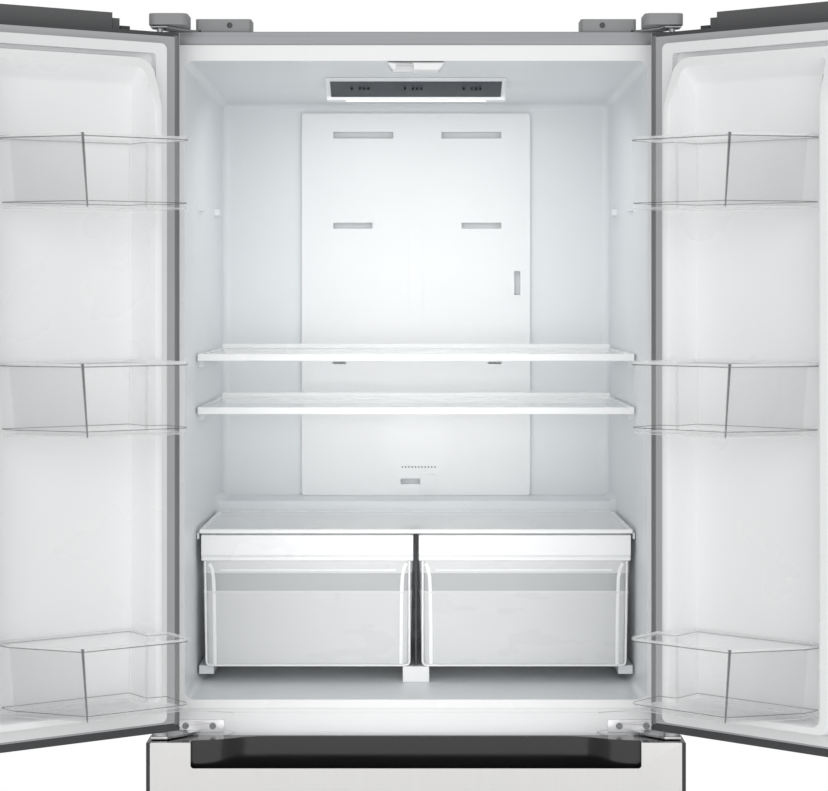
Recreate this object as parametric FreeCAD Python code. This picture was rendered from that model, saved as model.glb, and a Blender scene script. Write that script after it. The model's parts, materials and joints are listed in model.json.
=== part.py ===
import FreeCAD, Part
import math
import os

os.makedirs("parts", exist_ok=True)

# A french door refrigerator with a bottom freezer drawer, in millimetres, +Z up.
# Every piece is drawn in the cabinet's frame: X = 0 is the centre plane, Y = 0 is the
# front face of the cabinet, +Y runs into the cabinet, and Z = 0 is the floor.
# Both doors are drawn closed and then turned to their resting angle.

# ---- driving dimensions ----
WIDTH = 838.0
CABINET_TOP = 1746.0
CABINET_DEPTH = 638.0
ORIGIN_BACK = 143.0          # the origin lies this far behind the cabinet's front face
SHEET = 1.0                  # steel sheet
MOULDED = 3.0                # vacuum-formed and moulded walls
GAP = 0.3                    # between pieces that pass each other

DOOR_FRONT = -77.0           # outer faces of the doors and the drawer
DOOR_BACK = -14.0            # inner faces of the doors and the drawer
DOOR_BOTTOM = 656.0
DOOR_TOP = 1737.0
DOOR_GAP = 4.0               # from the centre plane to a door's free edge
PIVOT_X = 401.0
PIVOT_Y = -45.0
PIN_RADIUS = 5.0
RIGHT, LEFT = 1, -1
OPEN_ANGLES = {RIGHT: 139.0, LEFT: 145.0}    # both doors rest wide open

FRIDGE_HALF = 367.0          # compartment half width at the front
FRIDGE_DRAFT = 11.0          # taken off each side at the back
FRIDGE_FLOOR = 687.0
FRIDGE_CEILING = 1700.0
CEILING_DROP = 21.0
FRIDGE_DEPTH = 590.0
STEP_FRONT = 464.0           # the step over the machine space
STEP_TOP = 958.0

FREEZER_HALF = 362.0
FREEZER_FLOOR = 95.0
FREEZER_CEILING = 584.0
FREEZER_DEPTH = 525.0
FREEZER_LOW_DEPTH = 400.0    # below the compressor step
FREEZER_STEP = 333.0

DRAWER_TOP = 634.0
DRAWER_BOTTOM = 60.0
POCKET_HALF = 350.0
POCKET_SILL = 594.0

SHELF_FRONT = 150.0
SHELF_BACK = 505.0
SHELF_TOPS = (1231.0, 1143.0)
SHELF_HEIGHT = 12.0
GLASS = 4.0
COVER_TOP = 941.0
COVER_HEIGHT = 7.0

CRISPER_BOTTOM = 713.3
CRISPER_TOP = 932.0
BIN_BOTTOMS = {"bottom": 710.0, "middle": 1122.0, "top": 1457.0}
BIN_HEIGHT = 108.0
BIN_WALL = 2.5

MULLION_X = -31.0            # fold axis of the flip mullion with the left door closed
MULLION_Y = 9.5
MULLION_RADIUS = 9.0
MULLION_REACH = 61.0

HALF = WIDTH / 2
UP = FreeCAD.Vector(0, 0, 1)


# ---- helpers ----
def vec(x, y, z):
    return FreeCAD.Vector(x, y, z)


def box(x0, x1, y0, y1, z0, z1):
    return Part.makeBox(x1 - x0, y1 - y0, z1 - z0, vec(x0, y0, z0))


def rod(x, y, z, radius, length, axis=UP):
    return Part.makeCylinder(radius, length, vec(x, y, z), axis)


def join(shapes):
    first, rest = shapes[0], shapes[1:]
    return first.fuse(rest).removeSplitter() if rest else first


def mirrored(shape):
    return shape.mirror(vec(0, 0, 0), vec(1, 0, 0))


def pair(shape):
    """A shape on the right and its mirror image on the left, as two solids."""
    return Part.makeCompound([shape, mirrored(shape)])


def rounded_wire(u0, u1, v0, v1, radius, place):
    """A closed rectangle with round corners; place(u, v) puts a point in space."""
    k = radius * (1 - math.sqrt(0.5))
    corners = [
        ((u1 - radius, v0), (u1 - k, v0 + k), (u1, v0 + radius)),
        ((u1, v1 - radius), (u1 - k, v1 - k), (u1 - radius, v1)),
        ((u0 + radius, v1), (u0 + k, v1 - k), (u0, v1 - radius)),
        ((u0, v0 + radius), (u0 + k, v0 + k), (u0 + radius, v0)),
    ]
    edges = []
    for i, (start, middle, end) in enumerate(corners):
        following = corners[(i + 1) % 4][0]
        edges.append(Part.Arc(place(*start), place(*middle), place(*end)).toShape())
        edges.append(Part.LineSegment(place(*end), place(*following)).toShape())
    return Part.Wire(edges)


def wire_y(x0, x1, z0, z1, radius, y):
    return rounded_wire(x0, x1, z0, z1, radius, lambda u, v: vec(u, y, v))


def wire_z(x0, x1, y0, y1, radius, z):
    return rounded_wire(x0, x1, y0, y1, radius, lambda u, v: vec(u, v, z))


def loft(wires):
    return Part.makeLoft(wires, True, True)


def plate_y(x0, x1, z0, z1, radius, y0, y1):
    return loft([wire_y(x0, x1, z0, z1, radius, y0), wire_y(x0, x1, z0, z1, radius, y1)])


def block_z(x0, x1, y0, y1, radius, z0, z1):
    return loft([wire_z(x0, x1, y0, y1, radius, z0), wire_z(x0, x1, y0, y1, radius, z1)])


def prism_x(points, x0, x1):
    """A (y, z) outline drawn out along X."""
    face = Part.Face(Part.makePolygon([vec(x0, y, z) for y, z in points + points[:1]]))
    return face.extrude(vec(x1 - x0, 0, 0))


def prism_z(points, z0, z1):
    """An (x, y) outline drawn out along Z."""
    face = Part.Face(Part.makePolygon([vec(x, y, z0) for x, y in points + points[:1]]))
    return face.extrude(vec(0, 0, z1 - z0))


def prism_y(points, y0, y1):
    """An (x, z) outline drawn out along Y."""
    face = Part.Face(Part.makePolygon([vec(x, y0, z) for x, z in points + points[:1]]))
    return face.extrude(vec(0, y1 - y0, 0))


def wall_x(y):
    """Half width of the fridge compartment at a depth."""
    return FRIDGE_HALF - FRIDGE_DRAFT * y / FRIDGE_DEPTH


def ceiling_z(y):
    return FRIDGE_CEILING - CEILING_DROP * y / FRIDGE_DEPTH


# ---- cabinet shell ----
RAIL_BOTTOM = 1725.0
RAIL_DEPTH = 24.0
SKIRT = 36.0                 # lower edge of the side panels
FLANGE_IN = 393.0            # inner edge of the side panels' front returns


def cabinet_wrapper():
    """Two side panels with front returns, and a top panel between them."""
    side = join([
        box(HALF - SHEET, HALF, 0, CABINET_DEPTH, SKIRT, CABINET_TOP),
        box(FLANGE_IN, HALF - SHEET, 0, SHEET, 66, RAIL_BOTTOM),
    ])
    top = box(SHEET - HALF, HALF - SHEET, RAIL_DEPTH, CABINET_DEPTH,
              CABINET_TOP - SHEET, CABINET_TOP)
    return Part.makeCompound([side, mirrored(side), top])


def rear_panel():
    """Steel back above the machine space, with pressed stiffening ribs."""
    face = CABINET_DEPTH
    panel = box(-HALF, HALF, face, face + SHEET, FREEZER_STEP, CABINET_TOP)
    ribs = [
        plate_y(x - 14, x + 14, FREEZER_STEP + 90, CABINET_TOP - 90, 13.9,
                face + SHEET, face + 2.5)
        for x in (-280, -140, 0, 140, 280)
    ]
    return join([panel] + ribs)


def rear_lower_cover():
    """Louvred cover over the machine space."""
    face = CABINET_DEPTH
    cover = box(3 - HALF, HALF - 3, face, face + 2, 50, FREEZER_STEP - 4)
    slots = [
        plate_y(x - 45, x + 45, z - 3, z + 3, 2.9, face - 1, face + 3)
        for x in (-180, -60, 60, 180, 300)
        for z in range(120, 281, 20)
    ]
    inlet_hole = rod(INLET_X, face - 1, INLET_Z, 9, 5, vec(0, 1, 0))
    return cover.cut(slots + [inlet_hole])


INLET_X = -330.0
INLET_Z = 130.0


def power_inlet():
    """Round gland where the supply lead enters; the lead itself isn't part of the set."""
    face = CABINET_DEPTH
    along = vec(0, 1, 0)
    flange = rod(INLET_X, face + 2, INLET_Z, 14, 3, along)
    neck = rod(INLET_X, face - 8, INLET_Z, 8.5, 16, along)
    bore = rod(INLET_X, face - 9, INLET_Z, 4.5, 20, along)
    return join([flange, neck]).cut(bore)


def top_front_rail():
    face = box(SHEET - HALF, HALF - SHEET, -1, 1, RAIL_BOTTOM, CABINET_TOP)
    ledge = box(SHEET - HALF, HALF - SHEET, 1, RAIL_DEPTH, CABINET_TOP - 2, CABINET_TOP)
    return join([face, ledge])


CROSSBAR_TOP = 672.8
CROSSBAR_BOTTOM = 590.0
LOWER_SCREWS = ((322.0, 646.0), (365.0, 646.0))


def crossbar():
    """Beam between the two compartments, hollow, with a shallow panel in its face."""
    outside = box(-FLANGE_IN, FLANGE_IN, 0, 45, CROSSBAR_BOTTOM, CROSSBAR_TOP)
    inside = box(3 - FLANGE_IN, FLANGE_IN - 3, MOULDED, 46,
                 CROSSBAR_BOTTOM + 3, CROSSBAR_TOP - 3)
    panel = plate_y(-290, 290, 636, 667, 4, -1, 0.8)
    holes = [
        rod(side * x, -1, z, 3, 6, vec(0, 1, 0)) for x, z in LOWER_SCREWS for side in (-1, 1)
    ]
    return outside.cut([inside, panel] + holes)


# ---- liners ----
LUG_TOPS = tuple(top - SHELF_HEIGHT for top in SHELF_TOPS) + (1480.0,)
LUG_PROUD = 8.0
LINER_RADIUS = 14.0


def fridge_inside(skin):
    """The compartment's space, grown by skin on every side but the front."""
    side, back = FRIDGE_HALF + skin, FRIDGE_DEPTH + skin
    narrow = side - FRIDGE_DRAFT
    floor, step_front, step_top = FRIDGE_FLOOR - skin, STEP_FRONT + skin, STEP_TOP - skin
    plan = prism_z([(-side, 0), (side, 0), (narrow, back), (-narrow, back)], 600, 1800)
    profile = prism_x([
        (0, floor), (step_front, floor), (step_front, step_top), (back, step_top),
        (back, FRIDGE_CEILING - CEILING_DROP + skin), (0, FRIDGE_CEILING + skin),
    ], -HALF, HALF)
    room = plan.common(profile)
    return room.makeFillet(LINER_RADIUS + skin, [
        edge for edge in room.Edges
        if edge.BoundBox.YMax > 1 and not is_step_edge(edge, step_top)
    ])


def is_step_edge(edge, step_top):
    """The two edges that run along the top of the rear step, which stay sharp."""
    bounds = edge.BoundBox
    level = abs(bounds.ZMin - step_top) < 0.1 and abs(bounds.ZMax - step_top) < 0.1
    return level and bounds.XLength > 100


def liner_lugs():
    """Moulded supports on the right wall for shelves, crisper cover and crispers."""
    lugs = []
    for top in LUG_TOPS:
        for y0, y1 in ((200, 240), (445, 495)):
            lugs.append(box(wall_x(y1) - LUG_PROUD, wall_x(y1) + 1, y0, y1, top - 11, top))
    lugs.append(box(359, wall_x(300) + 1, 160, 300, 924, COVER_TOP - COVER_HEIGHT))
    lugs.append(box(336, wall_x(440) + 1, 170, 440, 699, CRISPER_BOTTOM - GAP))
    return lugs


def fridge_liner():
    """One formed liner: compartment, front flange, rear step and moulded lugs."""
    flange = box(-FLANGE_IN, FLANGE_IN, 0, MOULDED, 673, RAIL_BOTTOM)
    inside = fridge_inside(0)
    lugs = liner_lugs()
    lugs += [mirrored(lug) for lug in lugs]
    return join([join([fridge_inside(MOULDED), flange]).cut(inside)] + lugs)


def freezer_liner():
    """Freezer compartment with a step over the compressor, and its front flange."""
    def space(skin, front):
        half = FREEZER_HALF + skin
        upper = box(-half, half, front, FREEZER_DEPTH + skin, FREEZER_STEP - skin,
                    FREEZER_CEILING + skin)
        lower = box(-half, half, front, FREEZER_LOW_DEPTH + skin, FREEZER_FLOOR - skin,
                    FREEZER_CEILING + skin)
        return join([upper, lower])

    flange = box(-FLANGE_IN, FLANGE_IN, 0, MOULDED, 66, CROSSBAR_BOTTOM)
    return join([space(MOULDED, 0), flange]).cut(space(0, -1))


# ---- fridge compartment fittings ----
DUCT_HALF = 210.0
DUCT_TOP = 1661.0
DUCT_FACE = 578.0
DAMPER_X = 22.5
DAMPER_Z = 984.0


def duct_cover():
    """Rear air duct panel with its vents, sensor slot and damper slot."""
    outside = plate_y(-DUCT_HALF, DUCT_HALF, STEP_TOP + GAP, DUCT_TOP, 6,
                      DUCT_FACE, FRIDGE_DEPTH)
    inside = box(3 - DUCT_HALF, DUCT_HALF - 3, DUCT_FACE + MOULDED, FRIDGE_DEPTH + 1,
                 STEP_TOP + 3, DUCT_TOP - 3)
    vents = [
        (-152, -42, 1615, 1627), (47, 157, 1615, 1627),
        (-152, -80, 1449, 1460), (84, 157, 1449, 1460),
        (-153, -129, 1200, 1204), (133, 157, 1200, 1204),
        (181, 192, 1327, 1371), (-28, 37, 979, 989),
    ]
    slots = [box(x0, x1, DUCT_FACE - 1, DUCT_FACE + 5, z0, z1) for x0, x1, z0, z1 in vents]
    return join([outside.cut([inside] + slots), duct_strip()])


def duct_strip():
    """Slim raised strip with wider ends, moulded down the middle of the duct panel."""
    front, back = DUCT_FACE - 3, DUCT_FACE + 1
    strip = plate_y(-13, 13, 1091, 1520, 3, front, back)
    top = plate_y(-17, 17, 1490, 1526, 4, front, back)
    foot = plate_y(-17, 17, 1085, 1120, 4, front, back)
    return join([strip, top, foot])


def damper_slider():
    knob = plate_y(DAMPER_X - 14.5, DAMPER_X + 14.5, DAMPER_Z - 14, DAMPER_Z + 13, 2,
                   DUCT_FACE - 7, DUCT_FACE - 0.5)
    stem = box(DAMPER_X - 7, DAMPER_X + 7, DUCT_FACE - 1, DUCT_FACE + 6,
               DAMPER_Z - 4, DAMPER_Z + 4)
    return join([knob, stem])


HOUSING_HALF = 153.0
PANEL_HALF = 145.0
PANEL_FRONT = (223.0, 1688.5)    # (y, z) of the control panel's upper edge
PANEL_REAR = (288.0, 1666.0)


def control_outline(y0, y1, depth):
    """(y, z) corners of a strip lying on the housing's sloping face."""
    (ya, za), (yb, zb) = PANEL_FRONT, PANEL_REAR
    slope = (zb - za) / (yb - ya)
    length = math.hypot(1, slope)
    rise_y, rise_z = depth * slope / length, -depth / length
    za0, zb0 = za + slope * (y0 - ya), za + slope * (y1 - ya)
    return [(y0, za0), (y1, zb0), (y1 - rise_y, zb0 - rise_z), (y0 - rise_y, za0 - rise_z)]


def control_housing():
    """Wedge under the ceiling that holds the controls and the light."""
    profile = [
        (205, ceiling_z(205) - 0.3), (214, PANEL_FRONT[1] - 0.5), PANEL_FRONT, PANEL_REAR,
        (293, 1662), (328, 1662), (340, ceiling_z(340) - 0.3),
    ]
    wedge = prism_x(profile, -HOUSING_HALF, HOUSING_HALF)
    seat = prism_x(control_outline(226, 287, 3), -PANEL_HALF, PANEL_HALF)
    lens_seat = box(-120, 120, 298, 324, 1661, 1666)
    return wedge.cut([seat, lens_seat])


def control_panel():
    return prism_x(control_outline(226.2, 286.8, 2.8), 0.2 - PANEL_HALF, PANEL_HALF - 0.2)


def light_lens():
    return box(-119.8, 119.8, 298.2, 323.8, 1662, 1665.8)


GUIDE_BOTTOM = 1686.0
GUIDE_PIN_REACH = 21.0       # from the mullion's fold axis to its guide pin
GUIDE_PIN_RADIUS = 3.5


def mullion_guide():
    """Block under the ceiling whose groove leads the flip mullion's pin."""
    body = prism_y([(-46, 1698), (-37, GUIDE_BOTTOM), (37, GUIDE_BOTTOM), (46, 1698)], 2, 52)
    mouth = box(-31.8, -4, 1, 20, GUIDE_BOTTOM - 1, 1695.5)
    pocket = box(MULLION_X - 6, -4, 8, 36, GUIDE_BOTTOM - 1, 1695.5)
    return body.cut([mouth, pocket])


def shelf_outline(half_front, half_back, front, back):
    return [(-half_front, front), (half_front, front), (half_back, back), (-half_back, back)]


def shelf_frame(top):
    """Front strip, side trims and back edge round a glass plate, with a raised rear lip."""
    low = top - SHELF_HEIGHT
    slab = prism_z(shelf_outline(361, 355, SHELF_FRONT, SHELF_BACK), low, top)
    lip = box(-350, 350, SHELF_BACK - 6, SHELF_BACK, top - 1, top + 8)
    window = prism_z(shelf_outline(349, 343, 164, 492), low - 1, top + 1)
    rebate = prism_z(shelf_outline(353, 347, 160, 496), top - GLASS - 1, top + 1)
    return join([slab, lip]).cut([window, rebate])


def shelf_plate(top):
    outline = shelf_outline(352.7, 346.7, 160.3, 495.7)
    return prism_z(outline, top - GLASS - 0.8, top - 0.8)


def shelf_frames():
    return Part.makeCompound([shelf_frame(top) for top in SHELF_TOPS])


def shelf_glass():
    return Part.makeCompound([shelf_plate(top) for top in SHELF_TOPS])


def crisper_cover_frame():
    """Frame that roofs the crispers and carries a glass plate."""
    back = STEP_FRONT - 0.5
    low = COVER_TOP - COVER_HEIGHT
    outline = [(-358, SHELF_FRONT), (358, SHELF_FRONT), (354, 451), (342, back),
               (-342, back), (-354, 451)]
    slab = prism_z(outline, low, COVER_TOP)
    window = prism_z(shelf_outline(344, 340, 166, back - 14), low - 1, COVER_TOP + 1)
    rebate = prism_z(shelf_outline(349, 345, 161, back - 9), COVER_TOP - GLASS - 0.5,
                     COVER_TOP + 1)
    return slab.cut([window, rebate])


def crisper_cover_glass():
    outline = shelf_outline(348.7, 344.7, 161.3, STEP_FRONT - 9.8)
    return prism_z(outline, COVER_TOP - GLASS - 0.4, COVER_TOP - 0.4)


def crisper_divider():
    """Centre web and foot that carry the cover and both crispers."""
    web = box(-2, 2, 166, 448, 690, COVER_TOP - COVER_HEIGHT)
    foot = box(-22, 22, 160, 448, FRIDGE_FLOOR, CRISPER_BOTTOM - GAP)
    return join([web, foot])


def crisper_right():
    """Tapered tub with a deeper band across the top of its front."""
    wall = 2.5
    outside = loft([
        wire_z(9, 350, 160, 454, 14, CRISPER_BOTTOM),
        wire_z(4.5, 355, 156, 457, 14, CRISPER_TOP),
    ])
    inside = loft([
        wire_z(9 + wall, 350 - wall, 160 + wall, 454 - wall, 14 - wall, CRISPER_BOTTOM + wall),
        wire_z(4.5 + wall, 355 - wall, 156 + wall, 457 - wall, 14 - wall, CRISPER_TOP + 0.01),
    ])
    band = block_z(4.5, 355, SHELF_FRONT, 159, 3, 896, CRISPER_TOP)
    lip = block_z(10, 349, 156, 163, 3, CRISPER_BOTTOM, CRISPER_BOTTOM + 7)
    return join([outside, band, lip]).cut(inside)


def crisper_left():
    return mirrored(crisper_right())


# ---- freezer compartment fittings ----
FAN_Z = 535.0
FAN_Y = 496.0


def freezer_duct_cover():
    """Panel in front of the evaporator, with air slots and the fan's mouth."""
    cover = box(0.5 - FREEZER_HALF, FREEZER_HALF - 0.5, 470, 473, FREEZER_STEP + GAP,
                FREEZER_CEILING - GAP)
    slots = [
        plate_y(x - 30, x + 30, z - 3, z + 3, 2.9, 469, 474)
        for x in (-270, -180, 180, 270) for z in (400, 420, 520, 540)
    ]
    mouth = rod(0, 469, FAN_Z, 36, 6, vec(0, 1, 0))
    return cover.cut(slots + [mouth])


def evaporator():
    """Finned coil behind the freezer's rear panel."""
    along = vec(1, 0, 0)
    tubes = [
        rod(-250, y, z, 4, 500, along) for y in (490, 508) for z in (375, 405, 435, 465)
    ]
    fins = [box(x, x + 1, 480, 520, 360, 482) for x in range(-220, 221, 20)]
    ends = [box(x, x + 1, 473, FREEZER_DEPTH, 356, 486) for x in (-240, 239)]
    return join(fins + ends + tubes)


def evaporator_fan():
    """Hub and five pitched blades on one moulding."""
    along = vec(0, 1, 0)
    hub = rod(0, FAN_Y - 8, FAN_Z, 11, 16, along)
    blades = []
    for i in range(5):
        blade = box(-7, 7, -1, 1, 9, 33)
        blade.rotate(vec(0, 0, 0), UP, 32)
        blade.rotate(vec(0, 0, 0), along, 72 * i)
        blade.translate(vec(0, FAN_Y, FAN_Z))
        blades.append(blade)
    bore = rod(0, FAN_Y - 9, FAN_Z, 3, 12, along)
    return join([hub] + blades).cut(bore)


RAIL_Z = 345.0


def freezer_rails():
    """Channel on each side wall in which the basket's runners slide."""
    x0, x1 = FREEZER_HALF - 18, FREEZER_HALF - 0.2
    outside = box(x0, x1, 12, 392, RAIL_Z, RAIL_Z + 26)
    groove = box(x0 - 1, x1 - 3, 10, 393, RAIL_Z + 4, RAIL_Z + 22)
    return pair(outside.cut(groove))


# ---- machine space and base ----
ROLLER_Y = 590.0
ROLLER_RADIUS = 20.0
BASE_Z = 42.0


def base_tray():
    """Stamped base plate with a front upstand and roller ears with their axles."""
    plate = box(-415, 415, 4, 634, BASE_Z, BASE_Z + 2)
    upstand = box(-415, 415, 4, 6, BASE_Z, 66)
    parts = [plate, upstand]
    windows = []
    for side in (-1, 1):
        for x in (354, 386):
            parts.append(box(side * x - 1.5, side * x + 1.5, ROLLER_Y - 14, ROLLER_Y + 14,
                             12, BASE_Z))
        parts.append(rod(side * 370 - 17, ROLLER_Y, ROLLER_RADIUS, 4, 34, vec(1, 0, 0)))
        windows.append(box(side * 370 - 13, side * 370 + 13, ROLLER_Y - 18, ROLLER_Y + 18,
                           BASE_Z - 1, BASE_Z + 3))
    return join(parts).cut(windows)


def rear_rollers():
    wheel = rod(359, ROLLER_Y, ROLLER_RADIUS, ROLLER_RADIUS, 22, vec(1, 0, 0))
    bore = rod(358, ROLLER_Y, ROLLER_RADIUS, 4.3, 24, vec(1, 0, 0))
    return pair(wheel.cut(bore))


def levelling_feet():
    """Threaded front legs with hexagon collars and round pads."""
    x, y = 370.0, 45.0
    pad = Part.makeCone(20, 16, 9, vec(x, y, 0))
    collar_points = [
        (x + 11 * math.cos(math.radians(60 * i)), y + 11 * math.sin(math.radians(60 * i)))
        for i in range(6)
    ]
    collar = prism_z(collar_points, 9, 17)
    stem = rod(x, y, 17, 5, BASE_Z - 17)
    return pair(join([pad, collar, stem]))


def toe_grille():
    """Slotted grille below the freezer drawer."""
    face = plate_y(-402, 402, 14, 56, 4, -12, -8)
    ends = [box(x - 2, x + 2, -8, 4, 20, 52) for x in (-396, 396)]
    slots = [
        plate_y(x - 38, x + 38, z - 2.5, z + 2.5, 2.4, -13, -7)
        for x in range(-320, 321, 80) for z in (27, 37, 47)
    ]
    return join([face] + ends).cut(slots)


def compressor():
    """Welded can with rounded ends on a four-legged foot plate."""
    x, y, z, radius = -160.0, 525.0, 60.0, 72.0
    can = rod(x, y, z + 6, radius, 150)
    can = can.makeFillet(40, [e for e in can.Edges if len(e.Vertexes) == 1])
    plate = box(x - 85, x + 85, y - 60, y + 60, z, z + 8)
    feet = [rod(x + dx, y + dy, BASE_Z + 2, 12, z - BASE_Z - 2)
            for dx in (-70, 70) for dy in (-46, 46)]
    return join([can, plate] + feet)


def condenser():
    """Finned block with a row of tubes, under the drain pan."""
    along = vec(1, 0, 0)
    tubes = [rod(50, y, z, 4, 300, along) for y in (500, 545) for z in (90, 130, 170, 210)]
    fins = [box(x, x + 1.2, 480, 565, 70, 230) for x in range(60, 341, 20)]
    legs = [box(x, x + 1.2, 510, 540, BASE_Z + 2, 72) for x in (60, 340)]
    return join(fins + tubes + legs)


def drain_pan():
    """Shallow pan that evaporates defrost water above the condenser."""
    outside = block_z(40, 360, 440, 610, 12, 240, 275)
    inside = block_z(43, 357, 443, 607, 9, 243, 276)
    legs = [box(x, x + 3, 470, 580, BASE_Z + 2, 241) for x in (44, 353)]
    return join([outside.cut(inside)] + legs)


# ---- doors: drawn closed on the right, mirrored for the left ----
GASKET_OUT = (12.0, 389.0, 668.0, 1718.0)
GASKET_IN = (30.0, 370.0, 684.0, 1702.0)
GRIP_LOW = 850.0
GRIP_HIGH = 1350.0
GRIP_WIDTH = 36.0            # X of the grip's inner edge in the outer face
GRIP_DEPTH = -53.0           # Y of the grip's floor
CAP = 6.0


def across(s):
    """X of a point on the right door, s from its hinge edge."""
    return HALF - s


def inward(p):
    """Y of a point on a closed door, p from its inner face towards the compartment."""
    return DOOR_BACK + p


RETURN = 0.8                 # thickness of the skin's inner returns


def door_return():
    """Border that the skin's edges fold in to, round the gasket's channel."""
    x0, x1, z0, z1 = GASKET_OUT
    border = box(DOOR_GAP + 0.5, HALF - 0.5, inward(-RETURN), DOOR_BACK,
                 DOOR_BOTTOM + CAP, DOOR_TOP - CAP)
    channel = plate_y(x0 - GAP, x1 + GAP, z0 - GAP, z1 + GAP, 10, inward(-2), inward(1))
    return border.cut(channel)


def door_skin():
    """Steel front folded back along its upright edges and in round the gasket."""
    outside = box(DOOR_GAP, HALF, DOOR_FRONT, DOOR_BACK, DOOR_BOTTOM, DOOR_TOP)
    outside = outside.makeFillet(5, [
        e for e in outside.Edges
        if abs(e.CenterOfMass.y - DOOR_FRONT) < 0.1 and e.BoundBox.ZLength > 500
    ])
    inside = box(DOOR_GAP + SHEET, HALF - SHEET, DOOR_FRONT + SHEET, DOOR_BACK + 1,
                 DOOR_BOTTOM - 1, DOOR_TOP + 1)
    inside = inside.makeFillet(4, [
        e for e in inside.Edges
        if abs(e.CenterOfMass.y - DOOR_FRONT - SHEET) < 0.1 and e.BoundBox.ZLength > 500
    ])
    notch = box(DOOR_GAP - 1, GRIP_WIDTH, DOOR_FRONT - 1, GRIP_DEPTH, GRIP_LOW, GRIP_HIGH)
    return join([outside.cut([inside, notch]), door_return()])


def door_grip():
    """Recessed edge grip with an undercut behind the front sheet."""
    x0 = DOOR_GAP + SHEET
    body = box(x0, 50, DOOR_FRONT + SHEET + 0.1, GRIP_DEPTH + 3, GRIP_LOW - 4, GRIP_HIGH + 4)
    bends = [
        box(0, x0 + 4, DOOR_FRONT, DOOR_FRONT + 5.2, z, z + 5) for z in (GRIP_LOW - 5, GRIP_HIGH)
    ]
    mouth = box(0, GRIP_WIDTH, DOOR_FRONT - 1, GRIP_DEPTH, GRIP_LOW, GRIP_HIGH)
    undercut = box(GRIP_WIDTH - 1, 47, DOOR_FRONT + 4, GRIP_DEPTH, GRIP_LOW, GRIP_HIGH)
    return body.cut(bends + [mouth, undercut])


def dike(skin):
    """Raised border of the inner liner; skin is taken off for its hollow back."""
    crest = 60 - skin
    block = loft([
        wire_y(across(376) + skin, across(59) - skin, 690 + skin, 1696 - skin, 24,
               inward(-3) if not skin else inward(-4)),
        wire_y(across(355) + skin, across(62) - skin, 692 + skin, 1690 - skin, 24,
               inward(crest)),
    ])
    slope = prism_x([(inward(crest), 1612 - skin), (inward(20 - skin), 1692 - skin),
                     (inward(20 - skin), 1800), (inward(80), 1800), (inward(80), 1572 - skin)],
                    0, HALF)
    return block.cut(slope)


def dike_recess(skin):
    """Space between the dikes in which the bins sit; skin is added for its walls."""
    return loft([
        wire_y(across(322) - skin, across(86) + skin, 705 - skin, 1653 + skin, 12,
               inward(4 - skin)),
        wire_y(across(335) - skin, across(74) + skin, 704 - skin, 1713 + skin, 12,
               inward(62)),
    ])


def door_liner():
    """Formed inner panel: flat border, raised dikes and the recess between them."""
    plate = box(DOOR_GAP + SHEET, HALF - SHEET, inward(-RETURN - 2.5), inward(-RETURN),
                DOOR_BOTTOM + CAP, DOOR_TOP - CAP)
    solid = join([plate, dike(0)])
    hollow = dike(2.5).cut(dike_recess(2.5))
    return solid.cut(dike_recess(0)).cut(hollow)


def mullion_ears():
    """Ears on the left door's liner that carry the flip mullion, door closed."""
    ears = []
    for z in EAR_HEIGHTS:
        arm = box(-48, MULLION_X, MULLION_Y - 7, MULLION_Y + 7, z - 6, z + 6)
        eye = rod(MULLION_X, MULLION_Y, z - 6, 7, 12)
        foot = box(-58, -44, inward(-1), MULLION_Y + 7, z - 6, z + 6)
        bore = rod(MULLION_X, MULLION_Y, z - 7, 3.3, 14)
        ears.append(join([arm, eye, foot]).cut(bore))
    return ears


EAR_HEIGHTS = (760.0, 1190.0, 1600.0)


def door_caps():
    """Top cap with its raised strip and blocks, and bottom cap, as two solids."""
    x0, x1 = DOOR_GAP + SHEET, HALF - SHEET
    y0, y1 = DOOR_FRONT + SHEET, DOOR_BACK
    corner = 4.1
    top = block_z(x0, x1, y0, y1, corner, DOOR_TOP - CAP, DOOR_TOP)
    strip = box(DOOR_GAP, across(100), DOOR_FRONT, -47, DOOR_TOP, 1766)
    near = box(across(98), across(86), DOOR_FRONT, -50, DOOR_TOP, 1758)
    low = box(across(84), across(68), DOOR_FRONT, -50, DOOR_TOP, 1747)
    plug = block_z(x0, x1, y0, y1, corner, DOOR_BOTTOM, DOOR_BOTTOM + CAP)
    foot = box(DOOR_GAP, HALF, DOOR_FRONT, DOOR_BACK, 650, DOOR_BOTTOM)
    top_hole = rod(PIVOT_X, PIVOT_Y, DOOR_TOP - 20, PIN_RADIUS + GAP, 40)
    foot_hole = rod(PIVOT_X, PIVOT_Y, 640, PIN_RADIUS + GAP, 40)
    return Part.makeCompound([
        join([top, strip, near, low]).cut(top_hole),
        join([plug, foot]).cut(foot_hole),
    ])


def door_gasket():
    x0, x1, z0, z1 = GASKET_OUT
    a0, a1, b0, b1 = GASKET_IN
    ring = plate_y(x0, x1, z0, z1, 10, inward(-RETURN), -GAP)
    return ring.cut(plate_y(a0, a1, b0, b1, 6, inward(-2), 1))


def bin_outline(inset):
    """Closed (x, y) outline of a door bin, taken in by inset."""
    points = [
        (91, 8), (91, 64), (60, 67), (60, 132), (64.5, 144), (76, 150),
        (231, 150), (243, 146), (251, 137), (312, 44), (315, 30), (315, 8),
    ]
    path = [vec(across(s), inward(p), 0) for s, p in points]
    face = Part.Face(Part.makePolygon(path + path[:1]))
    return face.makeOffset2D(-inset, 2) if inset else face


def door_bin(bottom):
    """Open-topped bin with a rounded hinge-side corner and a slanted free end."""
    outside = bin_outline(0).extrude(vec(0, 0, BIN_HEIGHT))
    inside = bin_outline(BIN_WALL).extrude(vec(0, 0, BIN_HEIGHT))
    inside.translate(vec(0, 0, BIN_WALL))
    tub = outside.cut(inside)
    tub.translate(vec(0, 0, bottom))
    return tub


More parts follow.
